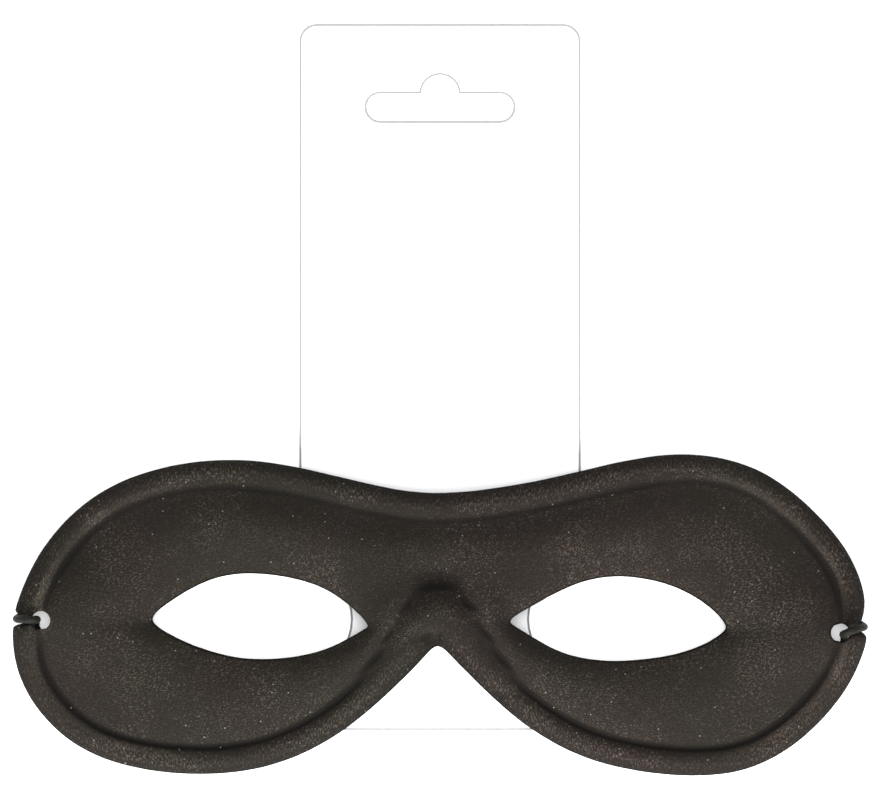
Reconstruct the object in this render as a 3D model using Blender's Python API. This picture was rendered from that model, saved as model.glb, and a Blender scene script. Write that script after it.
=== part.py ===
"""Domino mask on its hang card: moulded fabric mask, round elastic with two knots, cardboard card.

Everything lies face up on a level surface at z = 0. +X is to the right, +Y towards the forehead and the
top of the card, +Z out of the mask's face. The origin is under the middle of the whole object. Metres.
"""
import bpy
import bmesh
import math
import numpy as np
from collections import namedtuple
from mathutils import Vector
from mathutils.geometry import tessellate_polygon

# Mask, overall
MASK_WIDTH = 0.1857
MASK_HEIGHT = 0.0701
WALL = 0.0012

# Rolled rim: depths are measured inwards from the mask's edge
BEAD_CREST_DEPTH = 0.0030
BEAD_HEIGHT = 0.0024
GROOVE_DEPTH = 0.0060
GROOVE_HEIGHT = 0.0011
TOP_GROOVE_SOFTNESS = 0.35
BAND_DEPTH = 0.0090

# Panels between the rim and the eyes
DOME_HEIGHT = 0.0028
DOME_ROOM = 0.0120
DOME_CRISPNESS = 0.8
GROOVE_CRISPNESS = 1.6
SOFTENING = 0.6
SOCKET_HEIGHT = 0.0008
CREASE_HEIGHT = 0.0013
CREASE_REACH = 0.0040

# Nose ridge over the notch
NOSE_LIFT = 0.0048
NOSE_HALF_WIDTH = 0.0180
NOSE_BACK_START = 0.0075
NOSE_BACK_END = 0.0185
NOSE_BEAD_SPREAD = 1.3
NOSE_BEAD_REACH = 0.0110
NOTCH_ACROSS = -0.006
NOTCH_TIP_LENGTH = 0.0030

# Where the nose's shape fades out below the brow, as shares of the height from notch to brow
BROW_FADE_START = 0.45
BROW_FADE_LENGTH = 0.35

# Where the rim's softer upper half begins, as shares of the mask's height
UPPER_START = 0.55
UPPER_LENGTH = 0.30

# The mask's curve from temple to temple, and the arch of each end over the elastic
BOW_HEIGHT = 0.0060
BOW_SHARE = 0.86
ARCH_HEIGHT = 0.0030
ARCH_REACH = 0.0100
ARCH_START = 0.62
ARCH_LENGTH = 0.25

# Eyes
EYE_WIDTH = 0.0466
EYE_HEIGHT = 0.0182

# Elastic and its holes
ELASTIC_DIAMETER = 0.0017
HOLE_DIAMETER = 0.0040
EDGE_DENT = 0.0021
EDGE_DENT_REACH = 0.0008
EDGE_DENT_EASE = 0.0007
BEAD_DENT = 0.0012
BEAD_DENT_REACH = 0.0012
KNOT_DIAMETER = 0.0038

# Card
CARD_WIDTH = 0.0611
CARD_HEIGHT = 0.1534
CARD_THICKNESS = 0.0005
CARD_CORNER_RADIUS = 0.0038
MASK_BELOW_CARD = 0.0100
SLOT_WIDTH = 0.0320
SLOT_HEIGHT = 0.0060
SLOT_DROP = 0.0181
SLOT_HUMP_RADIUS = 0.00406
SIDE_NOTCH_RADIUS = 0.0112
SIDE_NOTCH_RISE = 0.0241
CARD_CLEARANCE = 0.0003

# Places on the mask: across is a share of half its width, up a share of its height above its foot
Knot = namedtuple("Knot", "across up")

# The mask's edge, from the dip of the brow round by the wearer's right temple and the nose
OUTLINE = (
    Knot(0.000, 0.879),
    Knot(-0.155, 0.904),
    Knot(-0.295, 0.947),
    Knot(-0.412, 0.975),
    Knot(-0.529, 0.980),
    Knot(-0.670, 0.950),
    Knot(-0.810, 0.867),
    Knot(-0.923, 0.719),
    Knot(-0.985, 0.555),
    Knot(-1.001, 0.422),
    Knot(-0.974, 0.273),
    Knot(-0.881, 0.122),
    Knot(-0.752, 0.037),
    Knot(-0.576, 0.005),
    Knot(-0.412, 0.028),
    Knot(-0.258, 0.115),
    Knot(-0.129, 0.250),
    Knot(-0.037, 0.371),
    Knot(-0.006, 0.405),
    Knot(0.026, 0.375),
    Knot(0.126, 0.242),
    Knot(0.244, 0.121),
    Knot(0.384, 0.039),
    Knot(0.585, 0.000),
    Knot(0.754, 0.037),
    Knot(0.895, 0.174),
    Knot(0.977, 0.333),
    Knot(1.001, 0.484),
    Knot(0.965, 0.670),
    Knot(0.857, 0.845),
    Knot(0.731, 0.958),
    Knot(0.567, 0.999),
    Knot(0.407, 0.971),
    Knot(0.244, 0.921),
)

# Each eye's middle on the mask, and its edge as shares of the eye's width and height about that middle
Eye = namedtuple("Eye", "middle knots")
LEFT_EYE = Eye(
    middle=Knot(-0.420, 0.498),
    knots=(
        Knot(-0.500, -0.049),
        Knot(-0.470, -0.144),
        Knot(-0.311, -0.347),
        Knot(-0.078, -0.500),
        Knot(0.155, -0.484),
        Knot(0.341, -0.353),
        Knot(0.472, -0.174),
        Knot(0.500, -0.121),
        Knot(0.477, -0.025),
        Knot(0.341, 0.261),
        Knot(0.155, 0.440),
        Knot(-0.050, 0.500),
        Knot(-0.265, 0.387),
        Knot(-0.451, 0.106),
        Knot(-0.486, 0.029),
    ),
)
RIGHT_EYE = Eye(
    middle=Knot(0.416, 0.490),
    knots=(
        Knot(-0.500, -0.030),
        Knot(-0.467, -0.107),
        Knot(-0.299, -0.357),
        Knot(-0.111, -0.488),
        Knot(0.076, -0.495),
        Knot(0.263, -0.423),
        Knot(0.404, -0.300),
        Knot(0.488, -0.161),
        Knot(0.500, -0.107),
        Knot(0.479, -0.006),
        Knot(0.367, 0.232),
        Knot(0.198, 0.422),
        Knot(-0.018, 0.494),
        Knot(-0.224, 0.378),
        Knot(-0.411, 0.131),
    ),
)

# Each cord hole: its end of the mask, its height, and how much higher the elastic leaves the rim
CordHole = namedtuple("CordHole", "side up rise")
LEFT_HOLE = CordHole(side=-1, up=0.4996, rise=-0.0009)
RIGHT_HOLE = CordHole(side=1, up=0.4341, rise=0.0019)

# Quads of the mask's mesh along each stretch of one half of its edge
BROW_COUNT = 9
TEMPLE_COUNT = 15
HOLE_COUNT = 8
CHEEK_COUNT = 14
NOSE_COUNT = 17
TIP_COUNT = 6
BRIDGE_COUNT = 8
BRIDGE_REACH = 0.0100
BAND_SHARES = (0.0, 0.2, 0.5, 0.75, 1.0)
PANEL_SHARES = (0.2, 0.42, 0.64, 0.84, 1.0)
RIM_RING_COUNT = 2
INNER_RING_COUNT = 2
OUTLINE_TURN_REACH = 0.010
EYE_TURN_REACH = 0.003

# The elastic's route from knot to knot, chosen by hand: its tail, up through the left hole, over the
# rim, under it, across below the brow and the card, and the same at the right hole
ELASTIC_ROUTE = (
    (-0.0803, -0.0499, 0.00150),
    (-0.0816, -0.0502, 0.00115),
    (-0.0836, -0.0506, 0.00095),
    (-0.0858, -0.0508, 0.00092),
    (-0.0872, -0.0503, 0.00095),
    (-0.0878, -0.0491, 0.00125),
    (-0.0877, -0.0481, 0.00220),
    (-0.0875, -0.0477, 0.00370),
    (-0.0875, -0.0476, 0.00540),
    (-0.0880, -0.0476, 0.00660),
    (-0.0893, -0.0476, 0.00700),
    (-0.0907, -0.0475, 0.00620),
    (-0.0918, -0.0475, 0.00430),
    (-0.0917, -0.0473, 0.00230),
    (-0.0906, -0.0465, 0.00110),
    (-0.0890, -0.0449, 0.00092),
    (-0.0860, -0.0428, 0.00092),
    (-0.0800, -0.0403, 0.00092),
    (-0.0700, -0.0375, 0.00092),
    (-0.0560, -0.0350, 0.00092),
    (-0.0440, -0.0342, 0.00092),
    (-0.0306, -0.0370, 0.00092),
    (-0.0150, -0.0388, 0.00092),
    (0.0020, -0.0392, 0.00092),
    (0.0160, -0.0387, 0.00092),
    (0.0306, -0.0370, 0.00092),
    (0.0430, -0.0344, 0.00092),
    (0.0560, -0.0352, 0.00092),
    (0.0700, -0.0388, 0.00092),
    (0.0800, -0.0425, 0.00092),
    (0.0860, -0.0456, 0.00092),
    (0.0890, -0.0474, 0.00092),
    (0.0906, -0.0484, 0.00110),
    (0.0919, -0.0491, 0.00230),
    (0.0919, -0.0493, 0.00430),
    (0.0907, -0.0495, 0.00620),
    (0.0893, -0.0500, 0.00700),
    (0.0881, -0.0505, 0.00660),
    (0.0876, -0.0508, 0.00540),
    (0.0875, -0.0509, 0.00370),
    (0.0877, -0.0513, 0.00220),
    (0.0878, -0.0523, 0.00125),
    (0.0872, -0.0535, 0.00095),
    (0.0858, -0.0540, 0.00092),
    (0.0836, -0.0538, 0.00095),
    (0.0816, -0.0534, 0.00115),
    (0.0803, -0.0531, 0.00150),
)
ELASTIC_POINTS = 78
LEFT_KNOT_PLACE = (-0.0782, -0.0494, 0.00195)
RIGHT_KNOT_PLACE = (0.0782, -0.0526, 0.00195)

HALF_WIDTH = MASK_WIDTH / 2
OBJECT_LENGTH = CARD_HEIGHT + MASK_BELOW_CARD
MASK_FOOT_Y = -OBJECT_LENGTH / 2
CARD_TOP_Y = OBJECT_LENGTH / 2
ELASTIC_CROSSING_Y = -0.0388


def smooth_step(value):
    """0 below 0, 1 above 1, with a soft rise between."""
    t = np.clip(value, 0.0, 1.0)
    return t * t * (3.0 - 2.0 * t)


def bell(value):
    """A soft bump: 1 at 0, fading to nothing past about 2."""
    return np.exp(-np.square(value))


def spline(points, closed, steps=40):
    """A dense smooth curve through the points, as an array of places."""
    points = np.array(points, dtype=float)
    spans = len(points) if closed else len(points) - 1
    size = len(points)
    gaps = [math.sqrt(np.linalg.norm(points[(i + 1) % size] - points[i])) for i in range(spans)]
    matrix = np.eye(size)
    right = np.zeros_like(points)
    for i in range(size):
        if closed or 0 < i < size - 1:
            before = gaps[i - 1]
            after = gaps[i]
            ahead = (i + 1) % size
            matrix[i, i - 1] = before
            matrix[i, i] = 2.0 * (before + after)
            matrix[i, ahead] = after
            right[i] = 6.0 * ((points[ahead] - points[i]) / after - (points[i] - points[i - 1]) / before)
    bends = np.linalg.solve(matrix, right)
    dense = []
    for i in range(spans):
        gap = gaps[i]
        here, ahead = points[i], points[(i + 1) % size]
        bend_here, bend_ahead = bends[i], bends[(i + 1) % size]
        for t in np.linspace(0.0, gap, steps, endpoint=False):
            left = gap - t
            cubic = (bend_here * left ** 3 + bend_ahead * t ** 3) / (6.0 * gap)
            linear = (here / gap - bend_here * gap / 6.0) * left + (ahead / gap - bend_ahead * gap / 6.0) * t
            dense.append(cubic + linear)
    dense.append(points[0] if closed else points[-1])
    return np.array(dense)


class Path:
    """A dense curve with its running length, read by distance along it."""

    def __init__(self, dense, turn_reach=OUTLINE_TURN_REACH):
        self.dense = dense
        self.pieces = np.linalg.norm(np.diff(dense, axis=0), axis=1)
        self.reach = np.concatenate([[0.0], np.cumsum(self.pieces)])
        self.length = self.reach[-1]
        heading = np.gradient(dense, axis=0)
        heading /= np.linalg.norm(heading, axis=1)[:, None]
        self.heading = heading
        turning = np.linalg.norm(np.diff(heading, axis=0), axis=1)
        self.effort = np.concatenate([[0.0], np.cumsum(self.pieces + turn_reach * turning)])

    def at(self, distance):
        """The place at a distance along the path."""
        return np.array([np.interp(distance, self.reach, column) for column in self.dense.T])

    def inward(self, distance):
        """The direction to the left of the path, which is inwards on a path that runs anticlockwise."""
        along = np.array([np.interp(distance, self.reach, column) for column in self.heading.T])
        along /= np.linalg.norm(along)
        return np.array([-along[1], along[0]])

    def crossing(self, axis, value, pick):
        """The distance along the path where one coordinate has a value, and the other is an extreme."""
        offset = self.dense[:, axis] - value
        hits = np.flatnonzero(offset[:-1] * offset[1:] <= 0.0)
        best = pick(hits, key=lambda i: self.dense[i, 1 - axis])
        share = offset[best] / (offset[best] - offset[best + 1])
        return self.reach[best] + share * self.pieces[best]

    def stations(self, start, end, count):
        """Distances from start up to just before end, closer together where the path turns."""
        if end <= start:
            end += self.length
        total = self.effort[-1]
        first = np.interp(start, self.reach, self.effort)
        last = np.interp(end % self.length, self.reach, self.effort)
        if end > self.length or last <= first:
            last += total
        wanted = np.linspace(first, last, count, endpoint=False) % total
        return list(np.interp(wanted, self.effort, self.reach))


def on_mask(knot):
    """A knot's place on the mask, measured from the middle of its foot."""
    return np.array([knot.across * HALF_WIDTH, knot.up * MASK_HEIGHT])


def eye_path(eye):
    """The closed edge of one eye opening."""
    middle = on_mask(eye.middle)
    places = [middle + np.array([knot.across * EYE_WIDTH, knot.up * EYE_HEIGHT]) for knot in eye.knots]
    return Path(spline(places, closed=True), EYE_TURN_REACH)


OUTLINE_PATH = Path(spline([on_mask(knot) for knot in OUTLINE], closed=True))
LEFT_EYE_PATH = eye_path(LEFT_EYE)
RIGHT_EYE_PATH = eye_path(RIGHT_EYE)
NOTCH_STATION = OUTLINE_PATH.crossing(0, NOTCH_ACROSS * HALF_WIDTH, min)
NOTCH_PLACE = OUTLINE_PATH.at(NOTCH_STATION)
BROW_STATION = OUTLINE_PATH.crossing(0, 0.0, max)
BROW_PLACE = OUTLINE_PATH.at(BROW_STATION)


def hole_station(hole):
    """How far along the mask's edge a cord hole lies."""
    pick = min if hole.side < 0 else max
    return OUTLINE_PATH.crossing(1, hole.up * MASK_HEIGHT, pick)


def hole_centre(hole):
    """The middle of a cord hole, in the groove behind the rim."""
    station = hole_station(hole)
    return OUTLINE_PATH.at(station) + OUTLINE_PATH.inward(station) * GROOVE_DEPTH


def cord_exit(hole):
    """Where the elastic crosses the mask's edge."""
    pick = min if hole.side < 0 else max
    return OUTLINE_PATH.at(OUTLINE_PATH.crossing(1, hole.up * MASK_HEIGHT + hole.rise, pick))


def gaps_to(places, path):
    """Distances from each place to the middle of each small piece of a path."""
    middles = (path.dense[:-1] + path.dense[1:]) / 2
    return np.linalg.norm(places[:, None, :] - middles[None, :, :], axis=2)


def soft_distance(places, path):
    """A smooth distance from each place to a path: like the nearest distance, but with no creases."""
    pull = np.sum(path.pieces[None, :] / np.maximum(gaps_to(places, path), 0.00005) ** 5, axis=1)
    return (pull * 0.75) ** -0.25


def edge_depth(places):
    """How far in from the mask's edge each place lies, with no crease along the middle of the mask."""
    nearest = np.min(gaps_to(places, OUTLINE_PATH), axis=1)
    far = smooth_step((nearest - GROOVE_DEPTH) / (1.5 * GROOVE_DEPTH))
    return nearest + (soft_distance(places, OUTLINE_PATH) - nearest) * far


def cord_press(places):
    """How much the elastic presses each place near it, from 0 to 1."""
    press = np.zeros(len(places))
    for hole in (LEFT_HOLE, RIGHT_HOLE):
        start = hole_centre(hole)
        along = cord_exit(hole) - start
        along /= np.linalg.norm(along)
        aside = (places - start) @ np.array([-along[1], along[0]])
        press = np.maximum(press, bell(aside / BEAD_DENT_REACH) * (places[:, 0] * hole.side > 0.0))
    return press


def rim_height(depth, upper):
    """The rolled rim: a round bead, then a groove that is softer along the brow."""
    groove = GROOVE_HEIGHT + TOP_GROOVE_SOFTNESS * (BEAD_HEIGHT - GROOVE_HEIGHT) * upper
    outer = BEAD_HEIGHT * np.sin(0.5 * math.pi * np.clip(depth / BEAD_CREST_DEPTH, 0.0, 1.0)) ** 0.8
    fall = np.clip((depth - BEAD_CREST_DEPTH) / (GROOVE_DEPTH - BEAD_CREST_DEPTH), 0.0, 1.0)
    fall = fall ** (GROOVE_CRISPNESS - SOFTENING * upper)
    inner = groove + (BEAD_HEIGHT - groove) * (0.5 + 0.5 * np.cos(math.pi * fall))
    return np.where(depth < BEAD_CREST_DEPTH, outer, inner)


def below_brow(places):
    """1 at the nose and the eyes, fading to 0 before the brow's rim."""
    climb = (places[:, 1] - NOTCH_PLACE[1]) / (BROW_PLACE[1] - NOTCH_PLACE[1])
    return 1.0 - smooth_step((climb - BROW_FADE_START) / BROW_FADE_LENGTH)


def base_height(places, depth):
    """The mask's overall curve: bow from temple to temple, arched ends and lifted nose."""
    across, up = places.T
    reach = np.clip(np.abs(across) / (BOW_SHARE * HALF_WIDTH), 0.0, 1.0)
    height = BOW_HEIGHT * np.cos(0.5 * math.pi * reach) ** 2
    for hole in (LEFT_HOLE, RIGHT_HOLE):
        end = smooth_step((across * hole.side / HALF_WIDTH - ARCH_START) / ARCH_LENGTH)
        height = height + ARCH_HEIGHT * end * bell((up - hole.up * MASK_HEIGHT) / ARCH_REACH)
    back = 1.0 - smooth_step((depth - NOSE_BACK_START) / (NOSE_BACK_END - NOSE_BACK_START))
    nose = bell((across - NOTCH_PLACE[0]) / NOSE_HALF_WIDTH) * back * below_brow(places)
    return height + NOSE_LIFT * nose


def crease_height(places):
    """The shallow valley that runs from each eye's outer corner towards its cord hole."""
    valley = np.zeros(len(places))
    for hole, path in ((LEFT_HOLE, LEFT_EYE_PATH), (RIGHT_HOLE, RIGHT_EYE_PATH)):
        corner = path.dense[np.argmax(path.dense[:, 0] * hole.side)]
        along = hole_centre(hole) - corner
        span = np.linalg.norm(along)
        along /= span
        share = (places - corner) @ along / span
        aside = (places - corner) @ np.array([-along[1], along[0]])
        fade = smooth_step((share + 0.2) / 0.3) * (1.0 - smooth_step((share - 0.3) / 0.7))
        valley = valley + bell(aside / CREASE_REACH) * fade
    return CREASE_HEIGHT * valley


def front_height(places, depth):
    """Height of the mask's front surface at places that lie a depth in from its edge."""
    places = np.array(places)
    depth = np.array(depth)
    to_left = soft_distance(places, LEFT_EYE_PATH)
    to_right = soft_distance(places, RIGHT_EYE_PATH)
    to_eye = (to_left ** -4 + to_right ** -4) ** -0.25
    nose = bell((places[:, 0] - NOTCH_PLACE[0]) / NOSE_BEAD_REACH) * below_brow(places)
    bead_scale = 1.0 + NOSE_BEAD_SPREAD * nose
    upper = smooth_step((places[:, 1] / MASK_HEIGHT - UPPER_START) / UPPER_LENGTH)
    soft = np.maximum(upper, np.minimum(2.0 * nose, 1.0))
    inside = np.maximum(depth - GROOVE_DEPTH * bead_scale, 0.0)
    room = inside + to_eye
    share = inside / room
    swell = np.sin(math.pi * share) ** (DOME_CRISPNESS + SOFTENING * soft)
    dome = DOME_HEIGHT * smooth_step(room / DOME_ROOM) * swell + SOCKET_HEIGHT * share
    height = base_height(places, depth) + rim_height(depth / bead_scale, soft) + dome
    height -= crease_height(places)
    pressed = 1.0 - smooth_step((depth - 0.6 * GROOVE_DEPTH) / (0.5 * GROOVE_DEPTH))
    return height - BEAD_DENT * cord_press(places) * pressed


def band_place(station, depth):
    """A place a depth in from the mask's edge; the edge itself is dented where the elastic crosses it."""
    edge = OUTLINE_PATH.at(station)
    inward = OUTLINE_PATH.inward(station)
    dent = 0.0
    for hole in (LEFT_HOLE, RIGHT_HOLE):
        gap = np.linalg.norm(edge - cord_exit(hole))
        dent += EDGE_DENT * (1.0 - smooth_step((gap - EDGE_DENT_REACH) / EDGE_DENT_EASE))
    return edge + inward * (depth + dent * max(1.0 - depth / GROOVE_DEPTH, 0.0))


def edge_stations():
    """Distances along the mask's edge of every column of its mesh, from the dip of the brow."""
    left_top = OUTLINE_PATH.crossing(0, LEFT_EYE.middle.across * HALF_WIDTH, max)
    left_foot = OUTLINE_PATH.crossing(0, LEFT_EYE.middle.across * HALF_WIDTH, min)
    right_top = OUTLINE_PATH.crossing(0, RIGHT_EYE.middle.across * HALF_WIDTH, max)
    right_foot = OUTLINE_PATH.crossing(0, RIGHT_EYE.middle.across * HALF_WIDTH, min)
    bridge_left = (BROW_STATION + BRIDGE_REACH) % OUTLINE_PATH.length
    bridge_right = (BROW_STATION - BRIDGE_REACH) % OUTLINE_PATH.length
    patch = 0.75 * HOLE_DIAMETER
    left_hole = hole_station(LEFT_HOLE)
    right_hole = hole_station(RIGHT_HOLE)
    stretches = (
        (BROW_STATION, bridge_left, TIP_COUNT),
        (bridge_left, left_top, BROW_COUNT),
        (left_top, left_hole - patch, TEMPLE_COUNT),
        (left_hole - patch, left_hole + patch, HOLE_COUNT),
        (left_hole + patch, left_foot, CHEEK_COUNT),
        (left_foot, NOTCH_STATION - NOTCH_TIP_LENGTH, NOSE_COUNT),
        (NOTCH_STATION - NOTCH_TIP_LENGTH, NOTCH_STATION, TIP_COUNT),
        (NOTCH_STATION, NOTCH_STATION + NOTCH_TIP_LENGTH, TIP_COUNT),
        (NOTCH_STATION + NOTCH_TIP_LENGTH, right_foot, NOSE_COUNT),
        (right_foot, right_hole - patch, CHEEK_COUNT),
        (right_hole - patch, right_hole + patch, HOLE_COUNT),
        (right_hole + patch, right_top, TEMPLE_COUNT),
        (right_top, bridge_right, BROW_COUNT),
        (bridge_right, BROW_STATION, TIP_COUNT),
    )
    stations = []
    for start, end, count in stretches:
        stations += OUTLINE_PATH.stations(start, end, count)
    return stations


def eye_stations(path, inner_side, counts):
    """Distances round an eye, from its inner corner, with a count of steps to each of its four extremes."""
    extremes = [
        np.argmin(path.dense[:, 0]),
        np.argmin(path.dense[:, 1]),
        np.argmax(path.dense[:, 0]),
        np.argmax(path.dense[:, 1]),
    ]
    if inner_side > 0:
        extremes = extremes[2:] + extremes[:2]
    marks = [path.reach[i] % path.length for i in extremes]
    marks.append(marks[0])
    stations = []
    for start, end, count in zip(marks, marks[1:], counts):
        stations += path.stations(start, end, count)
    return stations


def link_rings(mesh, outer, inner, closed=True, skip=()):
    """Quads between two rows of vertices that run anticlockwise, the outer one first."""
    last = len(outer) if closed else len(outer) - 1
    for i in range(last):
        if i not in skip:
            ahead = (i + 1) % len(outer)
            mesh.faces.new((outer[i], outer[ahead], inner[ahead], inner[i]))


class FrontSheet:
    """Collects the front surface's vertices by place and depth, and sets their heights."""

    def __init__(self, mesh):
        self.mesh = mesh
        self.places = []
        self.depths = []
        self.vertices = []

    def add(self, place, depth):
        vertex = self.mesh.verts.new((place[0], place[1], 0.0))
        self.places.append(place)
        self.depths.append(depth)
        self.vertices.append(vertex)
        return vertex

    def raise_all(self):
        places = np.array(self.places)
        measured = edge_depth(places)
        depths = [own if own is not None else far for own, far in zip(self.depths, measured)]
        for vertex, height in zip(self.vertices, front_height(places, depths)):
            vertex.co.z = height


def ring_depths():
    """Depths of the rim band's rings: to the groove, then evenly to the band's inner side."""
    depths = [share * GROOVE_DEPTH for share in BAND_SHARES]
    step = (BAND_DEPTH - GROOVE_DEPTH) / INNER_RING_COUNT
    return depths + [GROOVE_DEPTH + step * i for i in range(1, INNER_RING_COUNT + 1)]


def ring_depth(depth):
    """The depth that a rim ring is held to: past the groove it is measured like the panels'."""
    return depth if depth <= GROOVE_DEPTH else None


def punch_hole(sheet, hole, rings, first_column):
    """Fills the gap left in the rim band with quads round a circular hole."""
    last_column = first_column + HOLE_COUNT
    first_ring = RIM_RING_COUNT
    last_ring = len(rings) - 1
    border = [rings[first_ring][i] for i in range(first_column, last_column)]
    border += [rings[j][last_column] for j in range(first_ring, last_ring)]
    border += [rings[last_ring][i] for i in range(last_column, first_column, -1)]
    border += [rings[j][first_column] for j in range(last_ring, first_ring, -1)]
    centre = hole_centre(hole)
    inward = OUTLINE_PATH.inward(hole_station(hole))
    along = np.array([inward[1], -inward[0]])
    corner = border[0].co.xy - Vector(centre)
    start = math.atan2(corner.dot(Vector(inward)), corner.dot(Vector(along)))
    circle = []
    for i in range(len(border)):
        angle = start + 2.0 * math.pi * i / len(border)
        aside = HOLE_DIAMETER / 2 * math.cos(angle)
        deeper = HOLE_DIAMETER / 2 * math.sin(angle)
        circle.append(sheet.add(centre + along * aside + inward * deeper, ring_depth(GROOVE_DEPTH + deeper)))
    link_rings(sheet.mesh, border, circle)


def fill_bridge(sheet, foot, top):
    """Quads from the nose up to the brow; gives back the vertices up its left and its right side."""
    sides = []
    lower = foot
    for i in range(1, BRIDGE_COUNT):
        share = i / BRIDGE_COUNT
        row = []
        for start, goal in zip(foot, top):
            start = np.array(start.co.xy)
            goal = np.array(goal.co.xy)
            row.append(sheet.add(start + (goal - start) * share, None))
        link_rings(sheet.mesh, lower, row, closed=False)
        sides.append((row[0], row[-1]))
        lower = row
    link_rings(sheet.mesh, lower, top, closed=False)
    return zip(*sides)


def fill_panel(sheet, border, path, stations):
    """Quads from a panel's border in to its eye opening."""
    goals = [path.at(station) for station in stations]
    starts = [np.array(vertex.co.xy) for vertex in border]
    outer = border
    for share in PANEL_SHARES:
        inner = [sheet.add(start + (goal - start) * share, None) for start, goal in zip(starts, goals)]
        link_rings(sheet.mesh, outer, inner)
        outer = inner


def thicken(mesh, wall):
    """Gives an open sheet a wall of even thickness behind it, closed along every edge and hole."""
    mesh.normal_update()
    faces = mesh.faces[:]
    rims = [loop for face in faces for loop in face.loops if loop.edge.is_boundary]
    rims = [(loop.vert, loop.link_loop_next.vert) for loop in rims]
    behind = {vertex: mesh.verts.new(vertex.co - vertex.normal * wall) for vertex in mesh.verts[:]}
    for face in faces:
        mesh.faces.new([behind[vertex] for vertex in reversed(face.verts[:])])
    for here, ahead in rims:
        mesh.faces.new((ahead, here, behind[here], behind[ahead]))


def make_mask():
    """The moulded fabric shell, open behind, with its eyes and cord holes."""
    mesh = bmesh.new()
    sheet = FrontSheet(mesh)
    stations = edge_stations()
    rings = []
    for depth in ring_depths():
        rings.append([sheet.add(band_place(station, depth), ring_depth(depth)) for station in stations])
    half_count = len(stations) // 2
    left_column = TIP_COUNT + BROW_COUNT + TEMPLE_COUNT
    right_column = half_count + TIP_COUNT + NOSE_COUNT + CHEEK_COUNT
    open_columns = set(range(left_column, left_column + HOLE_COUNT))
    open_columns |= set(range(right_column, right_column + HOLE_COUNT))
    for j, (outer, inner) in enumerate(zip(rings, rings[1:])):
        link_rings(mesh, outer, inner, skip=open_columns if j >= RIM_RING_COUNT else ())
    punch_hole(sheet, LEFT_HOLE, rings, left_column)
    punch_hole(sheet, RIGHT_HOLE, rings, right_column)

    inner_ring = rings[-1]
    left_tip = half_count - TIP_COUNT
    right_tip = half_count + TIP_COUNT
    top = inner_ring[TIP_COUNT::-1] + inner_ring[:-TIP_COUNT - 1:-1]
    left_side, right_side = fill_bridge(sheet, inner_ring[left_tip:right_tip + 1], top)
    left_border = [inner_ring[left_tip], *left_side] + inner_ring[TIP_COUNT:left_tip]
    right_border = [*inner_ring[right_tip:1 - TIP_COUNT], *reversed(right_side)]
    half_hole = HOLE_COUNT // 2
    quarters = (
        BRIDGE_COUNT + BROW_COUNT,
        TEMPLE_COUNT + half_hole,
        half_hole + CHEEK_COUNT,
        NOSE_COUNT,
    )
    fill_panel(sheet, left_border, LEFT_EYE_PATH, eye_stations(LEFT_EYE_PATH, 1, quarters))
    fill_panel(sheet, right_border, RIGHT_EYE_PATH, eye_stations(RIGHT_EYE_PATH, -1, quarters[::-1]))
    sheet.raise_all()

    unused = [vertex for vertex in mesh.verts if not vertex.link_faces]
    bmesh.ops.delete(mesh, geom=unused, context="VERTS")
    thicken(mesh, WALL)
    lowest = min(vertex.co.z for vertex in mesh.verts)
    bmesh.ops.translate(mesh, verts=mesh.verts[:], vec=(0.0, 0.0, -lowest))
    shell = add_object("mask_shell", mesh, fabric_black())
    shell.location = (0.0, MASK_FOOT_Y, 0.0)
    return shell


def arc(centre, radius, start, end, count):
    """Places along an arc, angles in degrees, both ends included."""
    angles = [math.radians(start + (end - start) * i / count) for i in range(count + 1)]
    return [(centre[0] + radius * math.cos(a), centre[1] + radius * math.sin(a)) for a in angles]


def card_outline():
    """The card's edge, anticlockwise from its bottom left corner; its top edge lies along y = 0."""
    right = CARD_WIDTH / 2
    low = -CARD_HEIGHT
    corner = CARD_CORNER_RADIUS
    notch_y = low + SIDE_NOTCH_RISE
    places = arc((-right + corner, low + corner), corner, 180, 270, 6)
    places += arc((right - corner, low + corner), corner, 270, 360, 6)
    places += arc((right, notch_y), SIDE_NOTCH_RADIUS, 270, 90, 18)
    places += arc((right - corner, -corner), corner, 0, 90, 6)
    places += arc((-right + corner, -corner), corner, 90, 180, 6)
    places += arc((-right, notch_y), SIDE_NOTCH_RADIUS, 90, -90, 18)
    return places


def slot_outline():
    """The hanging slot: a wide slot with round ends and a half-round hump on top."""
    end_radius = SLOT_HEIGHT / 2
    end_x = SLOT_WIDTH / 2 - end_radius
    top = -SLOT_DROP + end_radius
    places = arc((end_x, -SLOT_DROP), end_radius, -90, 90, 10)
    places += arc((0.0, top), SLOT_HUMP_RADIUS, 0, 180, 14)
    places += arc((-end_x, -SLOT_DROP), end_radius, 90, 270, 10)
    return places


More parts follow.
